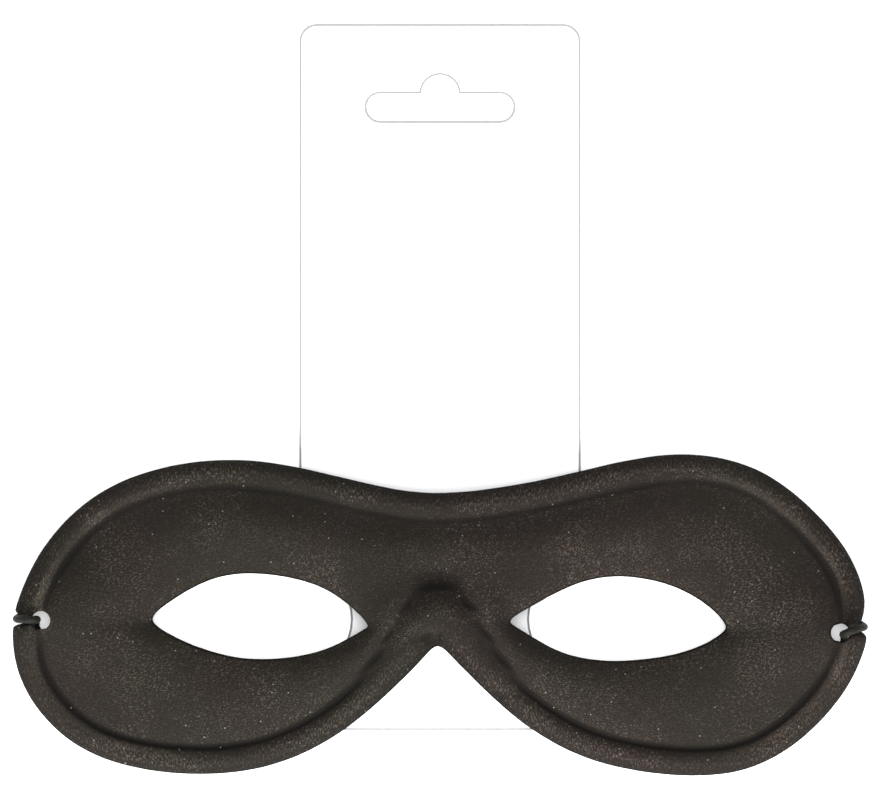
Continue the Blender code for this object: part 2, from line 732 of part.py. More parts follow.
def make_card():
    """The flat card: its top edge rests on the surface, and it leans on the elastic near its foot."""
    mesh = bmesh.new()
    loops = [[Vector((x, y, 0.0)) for x, y in places] for places in (card_outline(), slot_outline())]
    vertices = [mesh.verts.new(place) for loop in loops for place in loop]
    for triangle in tessellate_polygon(loops):
        mesh.faces.new([vertices[i] for i in triangle])
    bmesh.ops.recalc_face_normals(mesh, faces=mesh.faces[:])
    if mesh.faces[:][0].normal.z < 0.0:
        bmesh.ops.reverse_faces(mesh, faces=mesh.faces[:])
    bmesh.ops.translate(mesh, verts=mesh.verts[:], vec=(0.0, 0.0, CARD_THICKNESS))
    thicken(mesh, CARD_THICKNESS)
    card = add_object("hang_card", mesh, card_white())
    rise = ELASTIC_DIAMETER + CARD_CLEARANCE
    card.location = (0.0, CARD_TOP_Y, 0.0)
    card.rotation_euler.x = -math.atan2(rise, CARD_TOP_Y - ELASTIC_CROSSING_Y)
    return card


def make_elastic():
    """The round elastic, from knot to knot."""
    path = Path(spline(ELASTIC_ROUTE, closed=False))
    efforts = np.linspace(0.0, path.effort[-1], ELASTIC_POINTS)
    places = [path.at(distance) for distance in np.interp(efforts, path.effort, path.reach)]
    curve = bpy.data.curves.new("elastic_cord", "CURVE")
    curve.dimensions = "3D"
    curve.bevel_depth = ELASTIC_DIAMETER / 2
    curve.bevel_resolution = 2
    curve.use_fill_caps = True
    line = curve.splines.new("POLY")
    line.points.add(len(places) - 1)
    for point, place in zip(line.points, places):
        point.co = (*place, 1.0)
    curve.materials.append(elastic_black())
    cord = bpy.data.objects.new("elastic_cord", curve)
    bpy.context.scene.collection.objects.link(cord)
    return cord


def make_knot(name, place):
    """A tight end knot, lying in the hollow behind a cord hole."""
    mesh = bmesh.new()
    bmesh.ops.create_icosphere(mesh, subdivisions=2, radius=KNOT_DIAMETER / 2)
    knot = add_object(name, mesh, elastic_black())
    knot.location = place
    return knot


def material(name, colour, roughness):
    """A plain finish."""
    finish = bpy.data.materials.get(name) or bpy.data.materials.new(name)
    finish.use_nodes = True
    shader = finish.node_tree.nodes["Principled BSDF"]
    shader.inputs["Base Color"].default_value = (*colour, 1.0)
    shader.inputs["Roughness"].default_value = roughness
    shader.inputs["Metallic"].default_value = 0.0
    return finish


def fabric_black():
    return material("black_fabric", (0.022, 0.017, 0.014), 0.85)


def elastic_black():
    return material("black_elastic", (0.018, 0.016, 0.015), 0.75)


def card_white():
    return material("white_card", (0.88, 0.88, 0.88), 0.55)


def add_object(name, mesh, finish):
    """Turns a bmesh into a smooth-shaded object of the scene."""
    data = bpy.data.meshes.new(name)
    mesh.to_mesh(data)
    mesh.free()
    data.materials.append(finish)
    data.shade_smooth()
    data.set_sharp_from_angle(angle=math.radians(60))
    added = bpy.data.objects.new(name, data)
    bpy.context.scene.collection.objects.link(added)
    return added


def main():
    for item in list(bpy.data.objects):
        bpy.data.objects.remove(item)
    make_mask()
    make_card()
    make_elastic()
    make_knot("knot_left", LEFT_KNOT_PLACE)
    make_knot("knot_right", RIGHT_KNOT_PLACE)


main()
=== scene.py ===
"""Looks of a domino mask on its hang card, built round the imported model.

The file is laid out as an add-on: each piece has its own operator, and main runs them in order.
Lengths are in metres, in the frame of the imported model: +X right, +Y to the forehead, +Z out of the face.
"""
import math

import bmesh
import bpy
import numpy as np
from bpy.props import FloatProperty, FloatVectorProperty, IntProperty, PointerProperty
from bpy.types import Operator, Panel, PropertyGroup
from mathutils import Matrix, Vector, noise
from mathutils.bvhtree import BVHTree


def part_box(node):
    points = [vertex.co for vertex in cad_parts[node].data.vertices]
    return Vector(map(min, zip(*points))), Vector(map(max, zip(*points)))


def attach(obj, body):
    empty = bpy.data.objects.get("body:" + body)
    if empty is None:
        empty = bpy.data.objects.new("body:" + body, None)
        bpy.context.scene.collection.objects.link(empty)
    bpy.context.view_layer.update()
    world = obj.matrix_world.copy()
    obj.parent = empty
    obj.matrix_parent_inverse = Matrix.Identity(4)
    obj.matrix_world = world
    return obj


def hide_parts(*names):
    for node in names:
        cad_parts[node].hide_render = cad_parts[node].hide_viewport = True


bl_info = {
    "name": "Domino Mask on Hang Card",
    "version": (1, 0, 0),
    "blender": (4, 5, 0),
    "location": "3D View > Sidebar > Domino Mask",
    "description": "Builds a moulded fabric domino mask, its braided elastic and its hang card",
    "category": "Add Mesh",
}

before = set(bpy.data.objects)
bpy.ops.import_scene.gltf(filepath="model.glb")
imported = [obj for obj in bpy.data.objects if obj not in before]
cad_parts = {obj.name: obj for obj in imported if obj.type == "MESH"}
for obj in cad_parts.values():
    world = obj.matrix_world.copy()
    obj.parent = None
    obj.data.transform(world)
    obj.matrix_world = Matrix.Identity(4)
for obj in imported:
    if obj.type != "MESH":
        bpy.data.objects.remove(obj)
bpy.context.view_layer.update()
BODY = "root"

# The photograph's frame: its width in pixels, and how many pixels make a metre at the card
PICTURE_WIDTH = 880
PICTURE_PIXELS_PER_METRE = 4600
SENSOR_WIDTH_MM = 36.0

# Place and size of each soft light, and half the width of the floor
KEY_PLACE = (-0.02, -1.20, 0.72)
KEY_SIZE = (0.9, 0.4)
FILL_PLACE = (0.05, 0.05, 1.90)
FILL_SIZE = (1.6, 1.2)
FLOOR_REACH = 3.0

# Kinds of face of the mask and of the card, in the order of their finishes
FRONT, BACK, WALL = 0, 1, 2
COATED, CUT = 0, 1

# The mask's front and back reach as far as the surface turns by less than this from face to face. The
# back starts from a face that looks down at least this much. A hollow turn sharper than the groove's is
# creased, as the edges of the walls are.
FACE_TURN = math.radians(62.0)
LOOKS_DOWN = -0.97
GROOVE_TURN = math.radians(-24.0)
WALL_CREASE = 0.8
GROOVE_CREASE = 0.45

# The moulded fabric's unevenness: waves of two scales, and the share of the finer ones
BROAD_WAVES = 170.0
FINE_WAVES = 520.0
FINE_SHARE = 0.45

# Numbers stored on the points of the mask, for its finish, and the rounds of evening that find a bend
EDGE_DISTANCE = "edge_distance"
RIM_DISTANCE = "rim_distance"
BEND = "bend"
BEND_ROUNDS = 8
WIDE_BEND = "wide_bend"
WIDE_BEND_ROUNDS = 70
SOFTENING_ROUNDS = 2

# Where each soft step of the fabric's finish starts and ends: metres from the outer rim, from any cut
# edge and from the middle of the mask, then bends in steps of the mesh
# Painted shade: the bead's outer side, the cut edges, the hollows and the valleys are darkened, and the
# crests get a painted highlight.
BEAD_INNER_SIDE = (0.0035, 0.0055)
BEAD_OUTER_SIDE = (0.0012, 0.0027)
EDGE_SHADE = (0.00022, 0.00070)
TEMPLE = (0.050, 0.068)
HOLLOW = (-0.22, -0.02)
CREST = (0.02, 0.20)
VALLEY = (-1.05, -0.35)

# The slant of the rows of thread at the temples, and how many squares along a metre may each hold a painted
# glint, for the common glints and for the rare ones
ROW_SLANT = math.radians(26.0)
GLINT_SQUARES_PER_METRE = 4600.0
RARE_GLINT_SQUARES_PER_METRE = 4000.0

# The elastic: strands in its braid, the height between them that stays where the tube is, and the
# spacing of the points along the cord and along a coarser copy of its path
BRAID_STRANDS = 8.0
BRAID_LEVEL = 0.8
CORD_SPACING = 0.00018
PATH_SPACING = 0.002
CORD_SIDES = 16
ROUTE_RESOLUTION = 24

# The tied knot: a strand that weaves in and out three times on two rounds of a small coil, then its tail
COIL_RADIUS = 0.00086
WEAVE_RADIUS = 0.00042
WEAVE_STRETCH = 1.35
STRAND_RADIUS = 0.00062
STRAND_SIDES = 12
COIL_ROUNDS = 2.0
WEAVES = 3.0
COIL_STEPS = 96
TAIL_START = Vector((0.0004, 0.0003, 0.0))
TAIL_STEP = Vector((0.00024, 0.00006, -0.00004))
TAIL_POINTS = 9

# A face of the card is flat and broad where its normal is this near to upright
UPRIGHT = 0.99

# The elastic's route from knot to knot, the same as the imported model's
ELASTIC_ROUTE = (
    (-0.0803, -0.0499, 0.00150),
    (-0.0816, -0.0502, 0.00115),
    (-0.0836, -0.0506, 0.00095),
    (-0.0858, -0.0508, 0.00092),
    (-0.0872, -0.0503, 0.00095),
    (-0.0878, -0.0491, 0.00125),
    (-0.0877, -0.0481, 0.00220),
    (-0.0875, -0.0477, 0.00370),
    (-0.0875, -0.0476, 0.00540),
    (-0.0880, -0.0476, 0.00660),
    (-0.0893, -0.0476, 0.00700),
    (-0.0907, -0.0475, 0.00620),
    (-0.0918, -0.0475, 0.00430),
    (-0.0917, -0.0473, 0.00230),
    (-0.0906, -0.0465, 0.00110),
    (-0.0890, -0.0449, 0.00092),
    (-0.0860, -0.0428, 0.00092),
    (-0.0800, -0.0403, 0.00092),
    (-0.0700, -0.0375, 0.00092),
    (-0.0560, -0.0350, 0.00092),
    (-0.0440, -0.0342, 0.00092),
    (-0.0306, -0.0370, 0.00092),
    (-0.0150, -0.0388, 0.00092),
    (0.0020, -0.0392, 0.00092),
    (0.0160, -0.0387, 0.00092),
    (0.0306, -0.0370, 0.00092),
    (0.0430, -0.0344, 0.00092),
    (0.0560, -0.0352, 0.00092),
    (0.0700, -0.0388, 0.00092),
    (0.0800, -0.0425, 0.00092),
    (0.0860, -0.0456, 0.00092),
    (0.0890, -0.0474, 0.00092),
    (0.0906, -0.0484, 0.00110),
    (0.0919, -0.0491, 0.00230),
    (0.0919, -0.0493, 0.00430),
    (0.0907, -0.0495, 0.00620),
    (0.0893, -0.0500, 0.00700),
    (0.0881, -0.0505, 0.00660),
    (0.0876, -0.0508, 0.00540),
    (0.0875, -0.0509, 0.00370),
    (0.0877, -0.0513, 0.00220),
    (0.0878, -0.0523, 0.00125),
    (0.0872, -0.0535, 0.00095),
    (0.0858, -0.0540, 0.00092),
    (0.0836, -0.0538, 0.00095),
    (0.0816, -0.0534, 0.00115),
    (0.0803, -0.0531, 0.00150),
)


class Value:
    """A number that changes over a surface; sums and products of such numbers add their Math nodes."""

    def __init__(self, finish, socket):
        self.finish = finish
        self.socket = socket

    def math(self, operation, *others):
        return self.finish.math(operation, self, *others)

    def __add__(self, other):
        return self.math("ADD", other)

    __radd__ = __add__

    def __sub__(self, other):
        return self.math("SUBTRACT", other)

    def __rsub__(self, other):
        return self.finish.math("SUBTRACT", other, self)

    def __mul__(self, other):
        return self.math("MULTIPLY", other)

    __rmul__ = __mul__

    def __truediv__(self, other):
        return self.math("DIVIDE", other)

    def __gt__(self, other):
        return self.math("GREATER_THAN", other)


class Finish:
    """One material, built node by node around a single shader."""

    def __init__(self, name, roughness, sheen=0.0, specular=0.5):
        self.material = bpy.data.materials.new(name)
        self.material.use_nodes = True
        self.tree = self.material.node_tree
        self.shader = self.tree.nodes["Principled BSDF"]
        self.set("Roughness", roughness)
        self.set("Sheen Weight", sheen)
        self.set("Specular IOR Level", specular)

    def feed(self, socket, value):
        """Links a socket to a Value or another socket, or sets its plain value."""
        if isinstance(value, Value):
            value = value.socket
        if isinstance(value, bpy.types.NodeSocket):
            self.tree.links.new(value, socket)
        elif hasattr(value, "__len__") and len(value) == 3 and len(socket.default_value) == 4:
            socket.default_value = (*value, 1.0)
        else:
            socket.default_value = value

    def set(self, name, value):
        """Feeds one of the shader's own sockets."""
        self.feed(self.shader.inputs[name], value)

    def node(self, kind, settings=None, inputs=None, output=0):
        """Adds a node: its settings come first, then its sockets' values or links. Gives one output."""
        node = self.tree.nodes.new(kind)
        for name, value in (settings or {}).items():
            setattr(node, name, value)
        for key, value in (inputs or {}).items():
            self.feed(node.inputs[key], value)
        return node.outputs[output]

    def value(self, kind, settings=None, inputs=None, output=0):
        """A node's output, ready for sums."""
        return Value(self, self.node(kind, settings, inputs, output))

    def math(self, operation, *numbers):
        return self.value("ShaderNodeMath", {"operation": operation}, dict(enumerate(numbers)))

    def place(self):
        """The place on the piece, in the frame's metres."""
        return self.node("ShaderNodeTexCoord", output="Object")

    def around(self):
        """The piece's own map."""
        return self.node("ShaderNodeUVMap")

    def attribute(self, name):
        """A number stored on the piece's points."""
        return self.value("ShaderNodeAttribute", {"attribute_name": name}, output=2)

    def parts(self, vector):
        """The two or three numbers of a place."""
        node = self.tree.nodes.new("ShaderNodeSeparateXYZ")
        self.feed(node.inputs[0], vector)
        return [Value(self, socket) for socket in node.outputs]

    def together(self, x, y, z=0.0):
        """A place made of three numbers."""
        return self.node("ShaderNodeCombineXYZ", inputs={0: x, 1: y, 2: z})

    def cloud(self, vector, scale, detail=2.0, roughness=0.5):
        """Soft noise from 0 to 1."""
        inputs = {"Vector": vector, "Scale": scale, "Detail": detail, "Roughness": roughness}
        return self.value("ShaderNodeTexNoise", inputs=inputs)

    def grain(self, vector):
        """A random number for each place."""
        return self.value("ShaderNodeTexWhiteNoise", {"noise_dimensions": "3D"}, {"Vector": vector})

    def blend(self, share, first, second, kind="MIX"):
        """A colour between two others, or their product."""
        choice = {"data_type": "RGBA", "blend_type": kind}
        return self.node("ShaderNodeMix", choice, {0: share, 6: first, 7: second}, output=2)

    def step(self, value, start, end):
        """A soft step from 0 at start to 1 at end."""
        inputs = {0: value, 1: start, 2: end, 3: 0.0, 4: 1.0}
        return self.value("ShaderNodeMapRange", {"interpolation_type": "SMOOTHSTEP"}, inputs)

    def relief(self, height, distance, strength=1.0):
        """Feeds the shader's normal from a height between 0 and 1."""
        inputs = {"Height": height, "Distance": distance, "Strength": strength}
        self.set("Normal", self.node("ShaderNodeBump", inputs=inputs))


class MaskProperties(PropertyGroup):
    """The moulded mask."""

    smoothing: IntProperty(
        name="Smoothing", description="Subdivision steps of the shell",
        default=2, min=1, max=3,
    )
    thread_pitch: FloatProperty(
        name="Thread Pitch", description="Distance between threads of the face fabric",
        default=0.00046, min=0.0001, unit="LENGTH", precision=5,
    )
    unevenness: FloatProperty(
        name="Unevenness", description="How far the moulded fabric wanders from its mould",
        default=0.00005, min=0.0, unit="LENGTH", precision=5,
    )
    colour: FloatVectorProperty(
        name="Fabric", description="Colour of the black face fabric",
        default=(0.0141, 0.0118, 0.0087), subtype="COLOR", min=0.0, max=1.0,
    )
    warm_colour: FloatVectorProperty(
        name="Fabric, Warm", description="Colour of the face fabric where it has a brown cast",
        default=(0.0153, 0.0115, 0.0090), subtype="COLOR", min=0.0, max=1.0,
    )
    # This colour is painted light: the pale glints where fibres would catch the light.
    painted_glint_colour: FloatVectorProperty(
        name="Fleck", description="Colour of stray fibres that catch the light",
        default=(0.125, 0.120, 0.112), subtype="COLOR", min=0.0, max=1.0,
    )
    backing_colour: FloatVectorProperty(
        name="Backing", description="Colour of the felt behind the face fabric",
        default=(0.012, 0.011, 0.010), subtype="COLOR", min=0.0, max=1.0,
    )


class ElasticProperties(PropertyGroup):
    """The round elastic and its knots."""

    diameter: FloatProperty(
        name="Diameter", description="Thickness of the elastic",
        default=0.0017, min=0.0005, unit="LENGTH", precision=5,
    )
    braid_pitch: FloatProperty(
        name="Braid Pitch", description="Length of one crossing of the braid",
        default=0.0011, min=0.0003, unit="LENGTH", precision=5,
    )
    braid_relief: FloatProperty(
        name="Braid Relief", description="How far each strand of the braid stands up",
        default=0.00006, min=0.0, unit="LENGTH", precision=5,
    )
    colour: FloatVectorProperty(
        name="Elastic", description="Colour of the braided cover",
        default=(0.0062, 0.0060, 0.0050), subtype="COLOR", min=0.0, max=1.0,
    )


class CardProperties(PropertyGroup):
    """The hang card."""

    edge_radius: FloatProperty(
        name="Edge Radius", description="Rounding of the card's cut edges",
        default=0.00006, min=0.0, unit="LENGTH", precision=5,
    )
    # The edge line is painted edge shade: a grey band on the coated face beside each cut edge, where the
    # edge's shade falls.
    edge_shade_band: FloatProperty(
        name="Edge Line", description="Width of the line that the die leaves beside each cut edge",
        default=0.00040, min=0.00002, unit="LENGTH", precision=5,
    )
    colour: FloatVectorProperty(
        name="Card", description="Colour of the coated face of the card",
        default=(0.90, 0.90, 0.905), subtype="COLOR", min=0.0, max=1.0,
    )
    # The edge colour is painted edge shade: grey on the cut edges and the band beside them, darker than
    # bare card.
    shaded_edge_colour: FloatVectorProperty(
        name="Card Edge", description="Colour of the card's cut edge",
        default=(0.205, 0.200, 0.208), subtype="COLOR", min=0.0, max=1.0,
    )


class StageProperties(PropertyGroup):
    """Floor, light and camera."""

    floor_colour: FloatVectorProperty(
        name="Floor", description="Colour of the plain pale floor",
        default=(0.90, 0.90, 0.90), subtype="COLOR", min=0.0, max=1.0,
    )
    camera_height: FloatProperty(
        name="Camera Height", description="Height of the camera over the floor",
        default=2.2, min=0.5, unit="LENGTH",
    )
    sky: FloatProperty(
        name="Sky", description="Strength of the even light from all sides",
        default=0.85, min=0.0,
    )
    key: FloatProperty(
        name="Key", description="Power of the soft light on the side of the mask's lower rim, in watts",
        default=54.0, min=0.0,
    )
    fill: FloatProperty(
        name="Fill", description="Power of the soft light overhead, in watts",
        default=25.0, min=0.0,
    )
    glow: FloatProperty(
        name="Glow", description="Light given off by the floor itself",
        default=0.30, min=0.0,
    )


def settings(name):
    """One of the scene's groups of properties."""
    return getattr(bpy.context.scene, name)


def add_piece(name, mesh, finishes, node):
    """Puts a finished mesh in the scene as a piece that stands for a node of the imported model."""
    if isinstance(mesh, bmesh.types.BMesh):
        data = bpy.data.meshes.new(name)
        mesh.to_mesh(data)
        mesh.free()
        mesh = data
    mesh.name = name
    mesh.materials.clear()
    for finish in finishes:
        mesh.materials.append(finish)
    piece = bpy.data.objects.new(name, mesh)
    bpy.context.scene.collection.objects.link(piece)
    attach(piece, BODY)
    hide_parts(node)
    return piece


def merged_node(node):
    """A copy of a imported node's mesh, joined up again from its loose triangles."""
    mesh = bmesh.new()
    mesh.from_mesh(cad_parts[node].data)
    bmesh.ops.remove_doubles(mesh, verts=mesh.verts[:], dist=1e-6)
    return mesh


def spread(seeds, limit):
    """Every face that is reached from the seeds across edges that bend less than the limit."""
    found = set(seeds)
    front = list(seeds)
    while front:
        face = front.pop()
        for edge in face.edges:
            if len(edge.link_faces) == 2 and edge.calc_face_angle() < limit:
                for other in edge.link_faces:
                    if other not in found:
                        found.add(other)
                        front.append(other)
    return found


def subdivided(mesh, levels):
    """A bmesh after some steps of subdivision, as a mesh."""
    data = bpy.data.meshes.new("draft")
    mesh.to_mesh(data)
    mesh.free()
    draft = bpy.data.objects.new("draft", data)
    bpy.context.scene.collection.objects.link(draft)
    smoothing = draft.modifiers.new("smoothing", "SUBSURF")
    smoothing.levels = levels
    smoothing.render_levels = levels
    bpy.context.view_layer.update()
    depsgraph = bpy.context.evaluated_depsgraph_get()
    result = bpy.data.meshes.new_from_object(draft.evaluated_get(depsgraph))
    bpy.data.objects.remove(draft)
    bpy.data.meshes.remove(data)
    return result


def raise_surface(mesh, heights):
    """Moves every point of a mesh along its own normal by its height."""
    places = np.empty(3 * len(mesh.vertices))
    normals = np.empty(3 * len(mesh.vertices))
    mesh.vertices.foreach_get("co", places)
    mesh.vertices.foreach_get("normal", normals)
    places = places.reshape(-1, 3) + normals.reshape(-1, 3) * np.asarray(heights)[:, None]
    mesh.vertices.foreach_set("co", places.ravel())
    mesh.update()


def touching_groups(faces):
    """Sorts a mesh's faces into groups that hang together by their corners."""
    owners = {}
    for face in faces:
        for corner in face.vertices:
            owners.setdefault(corner, []).append(face)
    groups = []
    seen = set()
    for face in faces:
        if face.index in seen:
            continue
        seen.add(face.index)
        group = [face]
        for member in group:
            for corner in member.vertices:
                for other in owners[corner]:
                    if other.index not in seen:
                        seen.add(other.index)
                        group.append(other)
        groups.append(group)
    return groups


def distances_to(places, faces):
    """The distance from each place to the nearest of some faces."""
    tree = BVHTree.FromPolygons(places, [tuple(face.vertices) for face in faces])
    return [tree.find_nearest(place)[3] for place in places]


def bending(mesh, rounds):
    """How far each point stands out of its neighbours' middle, evened out over some rounds."""
    places = np.empty(3 * len(mesh.vertices))
    normals = np.empty(3 * len(mesh.vertices))
    pairs = np.empty(2 * len(mesh.edges), dtype=np.int32)
    mesh.vertices.foreach_get("co", places)
    mesh.vertices.foreach_get("normal", normals)
    mesh.edges.foreach_get("vertices", pairs)
    first, second = pairs.reshape(-1, 2).T
    count = np.bincount(pairs, minlength=len(mesh.vertices))[:, None]

    def neighbours_middle(values):
        columns = [
            np.bincount(first, column[second], len(count)) + np.bincount(second, column[first], len(count))
            for column in values.T
        ]
        return np.stack(columns, axis=1) / count

    places = places.reshape(-1, 3)
    steps = places[first] - places[second]
    pitch = np.mean(np.linalg.norm(steps, axis=1))
    evened = places
    for _ in range(rounds):
        evened = neighbours_middle(evened)
    height = np.sum((places - evened) * normals.reshape(-1, 3), axis=1) / pitch
    for _ in range(SOFTENING_ROUNDS):
        height = neighbours_middle(height[:, None])[:, 0]
    return height


def store_numbers(mesh):
    """Stores on every point what the fabric's finish follows: its edges, its rim and its bends, which place
    the painted shade and highlights.
    """
    places = [vertex.co for vertex in mesh.vertices]
    walls = [face for face in mesh.polygons if face.material_index == WALL]
    rim = max(touching_groups(walls), key=len)
    columns = {
        EDGE_DISTANCE: distances_to(places, walls),
        RIM_DISTANCE: distances_to(places, rim),
        BEND: bending(mesh, BEND_ROUNDS),
        WIDE_BEND: bending(mesh, WIDE_BEND_ROUNDS),
    }
    for name, numbers in columns.items():
        mesh.attributes.new(name, "FLOAT", "POINT").data.foreach_set("value", numbers)


def woven_fibres(finish, temple, on_bead):
    """Heights of the fibres and of the threads: rows at the temples, ribs across the bead, even between."""
    place = finish.place()
    x, y, z = finish.parts(place)
    wavy_x = x + (finish.cloud(place, scale=55.0) - 0.5) * 0.0016
    wavy_y = y + (finish.cloud(finish.together(y, x, z), scale=60.0) - 0.5) * 0.0016
    along_row = wavy_x * math.cos(ROW_SLANT) + wavy_y * math.sin(ROW_SLANT)
    over_row = wavy_y * math.cos(ROW_SLANT) - wavy_x * math.sin(ROW_SLANT)
    rows = finish.cloud(finish.together(along_row * 1500.0, over_row * 3300.0, z), scale=1.0)
    ribs = finish.cloud(finish.together(wavy_x * 3600.0, wavy_y * 1300.0, z), scale=1.0)
    even = finish.cloud(place, scale=3000.0, roughness=0.6)
    fibres = even * (1 - temple) * (1 - on_bead) + rows * temple + ribs * on_bead
    waves = math.pi / settings("domino_mask").thread_pitch
    threads = ((wavy_x * waves).math("SINE") * (wavy_y * waves).math("SINE")).math("ABSOLUTE")
    return fibres, threads


def face_fabric():
    """Black woven fabric: crossing threads and uneven dye, with painted glints on small fibres, painted
    highlights on fibre tops and crests, and painted shade in hollows, valleys, on the bead's outer side and
    along cut edges.
    """
    mask = settings("domino_mask")
    finish = Finish("black_face_fabric", roughness=0.82, sheen=0.015, specular=0.10)
    finish.set("Sheen Roughness", 0.45)
    place = finish.place()
    x, y, _ = finish.parts(place)
    rim = finish.attribute(RIM_DISTANCE)
    bend = finish.attribute(BEND)
    on_bead = 1 - finish.step(rim, *BEAD_INNER_SIDE)
    # Painted shade and highlight: the bead's outer side, the hollows and the wide valleys are darkened and
    # the crests lightened, as the light falls on them.
    outer_side = 1 - finish.step(rim, *BEAD_OUTER_SIDE)
    temple = finish.step(x.math("ABSOLUTE"), *TEMPLE) * (1 - on_bead)
    hollow = 1 - finish.step(bend, *HOLLOW)
    crest = finish.step(bend, *CREST)
    valley = 1 - finish.step(finish.attribute(WIDE_BEND), *VALLEY)

    def spared(in_hollow, on_outer_side, in_valley):
        """What is left of the painted light after the painted shade in hollows, on the bead's outer side
        and in valleys has taken its share.
        """
        return (1 - in_hollow * hollow) * (1 - on_outer_side * outer_side) * (1 - in_valley * valley)

    def specks(per_metre, layer):
        """A random number for each small square of the face."""
        squares = [(value * per_metre).math("FLOOR") for value in (x, y)]
        return finish.grain(finish.together(*squares, layer))

    fibres, threads = woven_fibres(finish, temple, on_bead)
    finish.relief(fibres * 0.8 + threads * 0.2, distance=0.00020, strength=0.9)
    tops = finish.step(fibres, 0.46, 0.74)
    patches = finish.step(finish.cloud(place, scale=85.0), 0.38, 0.66)
    # Painted highlight: the fibre tops are lit up, most on the crests and in random patches, and less in
    # the painted shade.
    patches_and_crest_highlight = (0.35 + 0.65 * patches) * (0.55 + 0.55 * crest)
    fibre_highlights = tops * patches_and_crest_highlight * spared(in_hollow=0.75, on_outer_side=0.60, in_valley=0.65)
    level = 0.57 + 0.14 * threads + 2.8 * fibre_highlights
    # Painted shade: the brightness of threads and fibre highlights together is lowered in hollows, on the
    # bead's outer side and in valleys.
    bright = level * spared(in_hollow=0.36, on_outer_side=0.30, in_valley=0.40)
    # Painted glints: pale specks where fibres would catch the light, left out of the painted shade in
    # hollows; the rarer, brighter specks below are painted glints too.
    glints = finish.step(specks(GLINT_SQUARES_PER_METRE, 0.0), 0.955, 1.0)
    glints = glints * (0.25 + 0.75 * patches) * (1 - hollow)
    glinting = specks(RARE_GLINT_SQUARES_PER_METRE, 7.0) > 0.9994

    dye = finish.step(finish.cloud(place, scale=30.0, detail=3.0), 0.38, 0.62)
    tone = finish.blend(dye, mask.colour, mask.warm_colour)
    shaded = finish.blend(1.0, tone, finish.together(bright, bright, bright), kind="MULTIPLY")
    lit = finish.blend((glints * 0.45).math("MAXIMUM", glinting), shaded, mask.painted_glint_colour)
    # Painted shade along every cut edge: the fabric darkens towards near black within a fraction of a
    # millimetre.
    edge = 1 - finish.step(finish.attribute(EDGE_DISTANCE), *EDGE_SHADE)
    black = tuple(0.2 * channel for channel in mask.colour)
    finish.set("Base Color", finish.blend(edge * 0.95, lit, black))
    finish.set("Roughness", 0.9 - 0.2 * tops)
    return finish.material


def felt_backing():
    """Needled felt, matte and fibrous."""
    mask = settings("domino_mask")
    finish = Finish("black_felt_backing", roughness=0.95, sheen=0.08, specular=0.15)
    place = finish.place()
    x, y, z = finish.parts(place)
    fibres = finish.cloud(finish.together(x * 1.8, y, z), scale=1500.0, detail=4.0, roughness=0.75)
    crossed = finish.cloud(finish.together(x, y * 2.2, z), scale=1100.0, detail=4.0, roughness=0.75)
    mat = fibres * 0.5 + crossed * 0.5
    finish.relief(mat, distance=0.00030, strength=0.8)
    pale = tuple(2.2 * channel for channel in mask.backing_colour)
    finish.set("Base Color", finish.blend(finish.step(mat, 0.40, 0.68), mask.backing_colour, pale))
    return finish.material


def cut_edge():
    """The cut edge of fabric and felt, dark and slightly frayed."""
    mask = settings("domino_mask")
    finish = Finish("black_cut_edge", roughness=0.9, sheen=0.0, specular=0.12)
    place = finish.place()
    layers = finish.cloud(place, scale=4200.0, detail=3.0, roughness=0.7)
    finish.relief(layers, distance=0.00010)
    dark = tuple(0.32 * channel for channel in mask.colour)
    finish.set("Base Color", finish.blend(layers, dark, mask.backing_colour))
    return finish.material


def braid():
    """The elastic's braided cover, with the pattern on the cord's own map in metres."""
    elastic = settings("domino_elastic")
    finish = Finish("black_braid", roughness=0.75, sheen=0.0, specular=0.06)
    turns, length, _ = finish.parts(finish.around())
    steps = length / elastic.braid_pitch
    left = ((turns * BRAID_STRANDS + steps) * math.pi).math("SINE").math("ABSOLUTE")
    right = ((turns * BRAID_STRANDS - steps) * math.pi).math("SINE").math("ABSOLUTE")
    strands = left.math("MAXIMUM", right)
    fibres = finish.cloud(finish.together(turns * 60.0, length * 900.0), scale=3.0, detail=3.0)
    finish.relief(strands * 0.7 + fibres * 0.3, distance=0.00008)
    pale = tuple(2.4 * channel for channel in elastic.colour)
    finish.set("Base Color", finish.blend(finish.step(strands * fibres, 0.25, 0.65), elastic.colour, pale))
    finish.set("Roughness", 0.75 - 0.25 * strands)
    return finish.material


def knotted_braid():
    """The same cover on the knots, where the pattern follows the place."""
    elastic = settings("domino_elastic")
    finish = Finish("black_braid_knot", roughness=0.75, sheen=0.0, specular=0.06)
    strands = finish.cloud(finish.place(), scale=2400.0, detail=2.0)
    finish.relief(strands, distance=0.00012)
    pale = tuple(2.2 * channel for channel in elastic.colour)
    finish.set("Base Color", finish.blend(finish.step(strands, 0.4, 0.7), elastic.colour, pale))
    return finish.material


def coated_card():
    """White coated card: almost even, with faint fibre mottling under the coating."""
    card = settings("domino_card")
    finish = Finish("white_coated_card", roughness=0.42, specular=0.4)
    place = finish.place()
    mottle = finish.cloud(place, scale=420.0, detail=4.0, roughness=0.6)
    broad = finish.cloud(place, scale=26.0, detail=2.0)
    shade = tuple(0.975 * channel for channel in card.colour)
    finish.set("Base Color", finish.blend(mottle * 0.6 + broad * 0.4, shade, card.colour))
    finish.set("Roughness", 0.38 + 0.12 * mottle)
    finish.relief(mottle, distance=0.00003, strength=0.5)
    return finish.material


